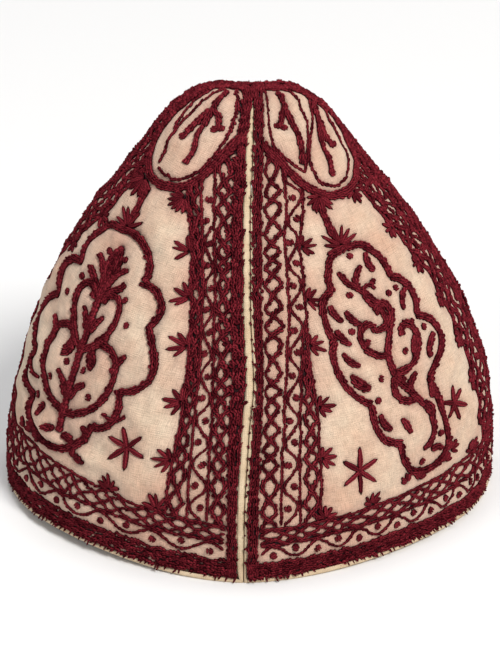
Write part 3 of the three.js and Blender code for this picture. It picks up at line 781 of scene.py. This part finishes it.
def undyedCotton():
    # undyed cotton, plain woven and lightly wadded: matte, warm beige, a little pink where the thread's dye has bled;
    # darker close to the stitches, partly dye bleed and partly painted shade, and painted shadow, near black, under
    # them
    material, tree, shader = newMaterial("undyedCottonPlainWeave")
    flat = add(tree, "UVMap", uv_map="flat").outputs[0]
    near, wide = attribute(tree, "threadNear"), attribute(tree, "threadAround")
    blotch = spread(tree, noise(tree, flat, 26.0, 4.0, 0.6), 0.35, 0.68)
    tint = blend(tree, blotch, linear("#D6C3AA"), linear("#C59B81"))
    bled = blend(tree, combine(tree, "MULTIPLY", wide, 0.5), tint, linear("#BC9484"))
    # close to the stitches the cloth turns darker and pinker: partly dye bleed, partly painted shade beside the raised
    # thread
    dyeBleedAndShade = blend(tree, combine(tree, "MULTIPLY", near, 0.24), bled, linear("#8F5A56"))
    # painted shadow: the cloth under the stitches is coloured near-black maroon, where the thread shades it
    shadowUnderThread = blend(tree, attribute(tree, "threadOver"), dyeBleedAndShade, linear("#240409"))
    # the real threads are 0.3 mm apart, finer than a pixel of the picture, so the weave is drawn at 0.75 mm
    weave = combine(tree, "MULTIPLY", weaveHeight(tree, flat, 0.75, 1.8), 0.6)
    grain = combine(tree, "ADD", weave, slubs(tree, flat, 1.6))
    # rubbed and soiled places, a few millimetres across
    soil = combine(tree, "MULTIPLY", noise(tree, flat, 340.0, 5.0, 0.75), 2.4)
    light = spread(tree, combine(tree, "ADD", grain, soil), 1.2, 2.9, 0.78, 1.15)
    coat(tree, shader, shadowUnderThread, light, grain, 0.8, 0.00018,
         {"Roughness": 0.95, "Specular IOR Level": 0.2, "Sheen Weight": 0.12, "Sheen Roughness": 0.6})
    return material


def creamTape():
    # cream cotton tape, closely woven and pressed flat: paler and smoother than the panels, with fine ribs across
    material, tree, shader = newMaterial("creamCottonTape")
    flat = add(tree, "UVMap", uv_map="flat").outputs[0]
    blotch = spread(tree, noise(tree, flat, 90.0, 4.0, 0.65), 0.3, 0.7)
    tint = blend(tree, blotch, linear("#D8C4A6"), linear("#BEA484"))
    grain = combine(tree, "ADD", weaveHeight(tree, flat, 0.7, 0.6), slubs(tree, flat, 1.2))
    light = spread(tree, grain, 0.1, 1.7, 0.82, 1.1)
    coat(tree, shader, tint, light, grain, 0.5, 0.00014, {"Roughness": 0.9, "Specular IOR Level": 0.25})
    return material


def maroonThread(name, low, high, paintedShadeColour):
    # cotton embroidery thread in a dark wine dye, loosely plied: matte with a faint sheen on the crown of each strand
    material, tree, shader = newMaterial(name)
    flat = add(tree, "UVMap", uv_map="flat").outputs[0]
    dye = blend(tree, attribute(tree, "tone"), linear(low), linear(high))
    # painted shade: each stitch's colour darkens toward paintedShadeColour at its edges, in its groove and at its tips
    shaded = blend(tree, combine(tree, "POWER", attribute(tree, "shade"), 1.6), linear(paintedShadeColour), dye)
    # two plies turn once in about a millimetre; the fibres between them are drawn as fine noise
    ply = waves(tree, flat, 0.55, "DIAGONAL", Distortion=1.5, Detail=1.0)
    fine = combine(tree, "ADD", ply, noise(tree, flat, 2600.0))
    light = spread(tree, fine, 0.4, 1.5, 0.72, 1.25)
    coat(tree, shader, shaded, light, fine, 0.6, 0.00015,
         {"Roughness": 0.78, "Specular IOR Level": 0.03, "Sheen Weight": 0.02, "Sheen Roughness": 0.45,
          "Sheen Tint": linear("#B04858")})
    return material


cottonMaterial = undyedCotton()
tapeMaterial = creamTape()
# the last colour of each thread is the painted shade colour of its stitches' edges, grooves and tips
threadMaterial = maroonThread("maroonCottonThread", "#470C14", "#8E2C36", "#080002")
whipMaterial = maroonThread("darkSewingThread", "#4A1218", "#6A2028", "#1C0407")
print("materials made")


# spacing of the outer grid's points and where the cloth ends, in mm; the inner grid keeps one row in innerShare
cloth = {
    "frontSpacing": 0.76, "backSpacing": 1.15, "innerShare": 4, "aboveRim": 2.4, "belowTop": 0.8, "borderDrop": 0.55,
}


def clothPanel(name, gore, drawing, relief):
    # closed shell: a fine outer grid that carries the relief, a coarser inner grid, and a wall between their borders
    spacing = cloth["frontSpacing"] if name.startswith("front") else cloth["backSpacing"]
    step = cloth["innerShare"]
    rows = int(goreLength / spacing) // step * step
    columns = int(gore["widths"][0] / spacing) // step * step
    height, covered, close, wide = relief
    lowest, highest = cloth["aboveRim"], goreLength - cloth["belowTop"]

    def surface(rowCount, columnCount, depth, scale):
        # points between the two edgings; lift = relief * scale - depth, less a drop at the outer border
        v = np.linspace(lowest, highest, rowCount + 1)
        start, stop = drawing.fromSeam(0, v, 1) + 0.05, drawing.fromSeam(1, v, 1) - 0.05
        middle = (start + stop) / 2
        start, stop = np.minimum(start, middle - 0.3)[:, None], np.maximum(stop, middle + 0.3)[:, None]
        x = start + (stop - start) * np.linspace(0, 1, columnCount + 1)
        v = np.repeat(v[:, None], columnCount + 1, axis=1)
        lift = readRelief(height, x, v) * scale * smoothstep(0, 12, goreLength - v) - depth
        fromBorder = np.minimum(np.minimum(x - start, stop - x), v - lowest)
        lift -= cloth["borderDrop"] * (1 - smoothstep(-0.3, 1.0, fromBorder)) * (depth == 0)
        return x, v, onGore(gore, x, v, lift)

    x, v, outer = surface(rows, columns, 0, 1)
    innerX, innerV, inner = surface(rows // step, columns // step, cap["clothThickness"], 0.4)
    outerIndex = np.arange(x.size).reshape(x.shape)
    innerIndex = np.arange(innerX.size).reshape(innerX.shape) + x.size
    quads = lambda grid: np.stack([grid[:-1, :-1], grid[:-1, 1:], grid[1:, 1:], grid[1:, :-1]], axis=-1).reshape(-1, 4)
    border = lambda grid: np.concatenate([grid[0, :-1], grid[:-1, -1], grid[-1, :0:-1], grid[:0:-1, 0]])
    outerLoop, innerLoop = border(outerIndex), border(innerIndex)
    nextInner = np.roll(innerLoop, -1)
    k = np.arange(len(outerLoop))
    near = np.where(k % step < step // 2, innerLoop[k // step], nextInner[k // step])
    wall = np.vstack([np.column_stack([np.roll(outerLoop, -1), outerLoop, near]),
                      np.column_stack([outerLoop[step // 2::step], innerLoop, nextInner])])
    faces = quads(outerIndex).tolist() + quads(innerIndex)[:, ::-1].tolist() + wall.tolist()
    x, v = np.concatenate([x.ravel(), innerX.ravel()]), np.concatenate([v.ravel(), innerV.ravel()])
    outside = np.arange(x.size) < outerIndex.size
    # threadOver marks where the painted shadow under the stitches goes; threadNear, dye bleed and painted shade close
    # to them
    values = {"threadOver": covered, "threadNear": close, "threadAround": wide}
    piece = makePiece("cloth_" + name, np.concatenate([outer.reshape(-1, 3), inner.reshape(-1, 3)]), faces,
                      cottonMaterial, gore["mirrored"], np.column_stack([x, v]) * mm,
                      {key: readRelief(grid, x, v) * outside for key, grid in values.items()})
    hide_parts("panel_" + name)


edging = {
    "foldDepth": 6.6, "stationStep": 1.6, "seamGap": 0.12, "rimWidth": 1.9,
    # distance in from the edge in mm, or as a share of the shown width where marked 1, and height out of the cloth
    "section": [(1.0, 1, 0.02), (0.72, 1, 0.3), (0.36, 1, 0.34), (0.1, 1, 0.12), (0.0, 0, -0.35), (0.0, 0, -1.4),
                (0.0, 0, -2.5), (0.3, 0, -2.95), (2.0, 0, -3.0), (6.3, 0, -2.95), (6.3, 0, -2.5), (2.0, 0, -2.45),
                (0.62, 0, -2.4), (0.5, 0, -1.8), (0.5, 0, -0.6), (0.9, 1, -0.5)],
}


def edgingStrip(name, gore, drawing):
    # a folded tape: its section runs from the outer face over the raw edge to the inner face, and back inside that;
    # each point = outer edge + (inner edge - outer edge) * distance / reach
    depth, step, gap = edging["foldDepth"], edging["stationStep"], edging["seamGap"]
    v = np.arange(184, 0, -step)
    width, centre = widthAt(gore, v), centreAt(gore, v)
    room = np.minimum(depth, width * 0.27)
    outerEdges, innerEdges, widths = [], [], []
    for end, seam, side in ((0, -centre, 1), (1, width - centre, -1)):
        outerEdges.append(np.column_stack([seam + side * gap, v]))
        innerEdges.append(np.column_stack([seam + side * room, np.maximum(v, depth)]))
        widths.append(np.interp(v, *drawing.borders[end][:, :2].T))
    x = np.arange(gap, gore["widths"][0] - 0.11, step) - centreAt(gore, 0)
    lowest, highest = depth - centreAt(gore, 5), widthAt(gore, 5) - centreAt(gore, 5) - depth
    rimInner = np.column_stack([np.clip(x, lowest, highest), np.full(len(x), depth)])
    outerEdge = np.vstack([outerEdges[0], np.column_stack([x, np.zeros(len(x))]), outerEdges[1][::-1]])
    innerEdge = np.vstack([innerEdges[0], rimInner, innerEdges[1][::-1]])
    shown = np.concatenate([widths[0], np.full(len(x), edging["rimWidth"]), widths[1][::-1]]).clip(0.25)
    far = runOf(outerEdge)
    rng = np.random.default_rng(21)
    shown *= 1 + 0.03 * np.convolve(rng.normal(0, 1, len(far) + 8), np.ones(9) / 9, "valid")
    reach = np.linalg.norm(innerEdge - outerEdge, axis=1).clip(0.5)
    raised = smoothstep(0.2, 1.2, shown)
    ring = []
    for distance, byShare, lift in edging["section"]:
        share = (distance * shown if byShare else np.minimum(distance, reach * 0.96)) / reach
        place = outerEdge + (innerEdge - outerEdge) * share[:, None]
        lift = lift - 0.5 * (1 - raised) if lift > -0.4 else np.full(len(place), lift)
        ring.append(onGore(gore, place[:, 0], place[:, 1], lift))
    ring = np.stack(ring, axis=1)
    stations, points = ring.shape[:2]
    index = np.arange(stations * points).reshape(stations, points)
    wrapped = np.concatenate([index, index[:, :1]], axis=1)
    faces = np.stack([wrapped[:-1, 1:], wrapped[1:, 1:], wrapped[1:, :-1], wrapped[:-1, :-1]], axis=-1).reshape(-1, 4)
    faces = faces.tolist() + [index[0].tolist(), index[-1][::-1].tolist()]
    flat = np.column_stack([np.tile(np.linspace(0, 12, points), stations), np.repeat(far, points)]) * mm
    piece = makePiece("edging_strip_" + name, ring.reshape(-1, 3), faces, tapeMaterial, gore["mirrored"], flat)
    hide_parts("edging_" + name)


def stitchPiece(label, gore, links, relief, stations, material):
    # every stitch is the same closed shape, laid on the cloth point by point so that it follows the curve of the gore
    points, faces, uv, tone, shade, done = [], [], [], [], [], 0
    for kind, some in (("chain", links[links[:, 9] < 0.5]), ("petal", links[links[:, 9] > 0.5])):
        if not len(some):
            continue
        shape, shapeFaces = linkShape(kind, stations)
        start, way, (length, width, height, dye, lift) = some[:, :2], some[:, 2:4], some[:, 4:9].T
        along = shape[:, 0] * length[:, None]
        beside = shape[:, 1] * width[:, None] / 2
        x = start[:, :1] + along * way[:, :1] - beside * way[:, 1:]
        v = start[:, 1:] + along * way[:, 1:] + beside * way[:, :1]
        base = readRelief(relief, x, v) * smoothstep(0, 12, goreLength - v)
        up = shape[:, 2] * height[:, None] + lift[:, None] + 0.16 * shape[:, 0] - 0.12  # each link climbs on the next
        laid = onGore(gore, x, v, base + up)
        laid[..., 2] = np.maximum(laid[..., 2], 0.0001)
        count, each = x.shape
        points.append(laid.reshape(-1, 3))
        faces.append((shapeFaces[None] + (done + np.arange(count) * each)[:, None, None]).reshape(-1, 3))
        uv.append(np.stack([np.cumsum(length)[:, None] + along, beside], axis=-1).reshape(-1, 2) * mm)
        tone.append(np.repeat(dye, each))
        shade.append(np.tile(shape[:, 3], count))
        done += count * each
    faces = np.concatenate(faces).tolist()
    piece = makePiece(label, np.concatenate(points), faces, material, gore["mirrored"], np.concatenate(uv),
                      {"tone": np.concatenate(tone), "shade": np.concatenate(shade)})
    return len(faces)


stitchGroups = {
    "band": ("border_stitches_", threadMaterial), "field": ("motif_stitches_", threadMaterial),
    "rim": ("rim_stitches_", whipMaterial),
}
total = 0
for name, gore in gores.items():
    drawing = drawGore(name)
    rng = np.random.default_rng(len(name) + 40)
    parts = {group: linksOf(lines, rng) for group, lines in drawing.lines.items()}
    relief = reliefOf(name, np.vstack([parts["band"], parts["field"]]), rng)
    clothPanel(name, gore, drawing, relief)
    edgingStrip(name, gore, drawing)
    stations = 3 if name.startswith("front") else 2
    for group, (label, material) in stitchGroups.items():
        total += stitchPiece(label + name, gore, parts[group], relief[0], stations, material)
    print("%s: %d links" % (name, sum(len(p) for p in parts.values())))
print("stitches: %d triangles" % total)


studio = {
    "azimuth": 1.0, "elevation": 24.73, "distance": 0.9, "target": (0.00044, 0.0, 0.0536), "lens": 129.8,
    "floor": "#EBEBEB", "world": 0.3, "key": 175.0, "fill": 30.0, "top": 56.0,
}


def areaLight(name, place, size, power, colour="#FFFFFF"):
    # a round lamp aimed at the middle of the cap
    data = bpy.data.lights.new(name, "AREA")
    data.shape = "DISK"
    data.size = size
    data.energy = power
    data.color = linear(colour)[:3]
    lamp = bpy.data.objects.new(name, data)
    lamp.location = place
    lamp.rotation_euler = (Vector((0, 0, 0.06)) - Vector(place)).to_track_quat("-Z", "Y").to_euler()
    bpy.context.scene.collection.objects.link(lamp)


def setStudio():
    # white floor and world, three lamps, and a camera at distance * (sin a cos e, -cos a cos e, sin e) from its target
    scene = bpy.context.scene
    floorMaterial, tree, shader = newMaterial("paintedStudioFloor")
    shader.inputs["Base Color"].default_value = linear(studio["floor"])
    shader.inputs["Roughness"].default_value = 0.9
    shader.inputs["Specular IOR Level"].default_value = 0.1
    mesh = bpy.data.meshes.new("floor")
    mesh.from_pydata([(-4, -4, 0), (4, -4, 0), (4, 8, 0), (-4, 8, 0)], [], [(0, 1, 2, 3)])
    mesh.materials.append(floorMaterial)
    floor = bpy.data.objects.new("floor", mesh)
    scene.collection.objects.link(floor)
    world = bpy.data.worlds.new("studio")
    world.use_nodes = True
    world.node_tree.nodes["Background"].inputs[0].default_value = (1, 1, 1, 1)
    world.node_tree.nodes["Background"].inputs[1].default_value = studio["world"]
    scene.world = world
    areaLight("key", (1.8, -2.55, 3.15), 1.3, studio["key"], "#FFFDFA")
    areaLight("fill", (-2.7, -2.4, 1.8), 2.7, studio["fill"], "#F7F9FF")
    areaLight("overhead", (0.0, 0.75, 3.9), 2.4, studio["top"])
    a, e = math.radians(studio["azimuth"]), math.radians(studio["elevation"])
    target = Vector(studio["target"])
    back = Vector((math.sin(a) * math.cos(e), -math.cos(a) * math.cos(e), math.sin(e)))
    data = bpy.data.cameras.new("camera")
    data.lens = studio["lens"]
    data.sensor_width = 36
    data.clip_start = 0.01
    camera = bpy.data.objects.new("camera", data)
    camera.location = target + studio["distance"] * back
    camera.rotation_euler = (-back).to_track_quat("-Z", "Y").to_euler()
    scene.collection.objects.link(camera)
    scene.camera = camera
    scene.view_settings.view_transform = "Standard"
    scene.view_settings.look = "None"


setStudio()
print("studio set")
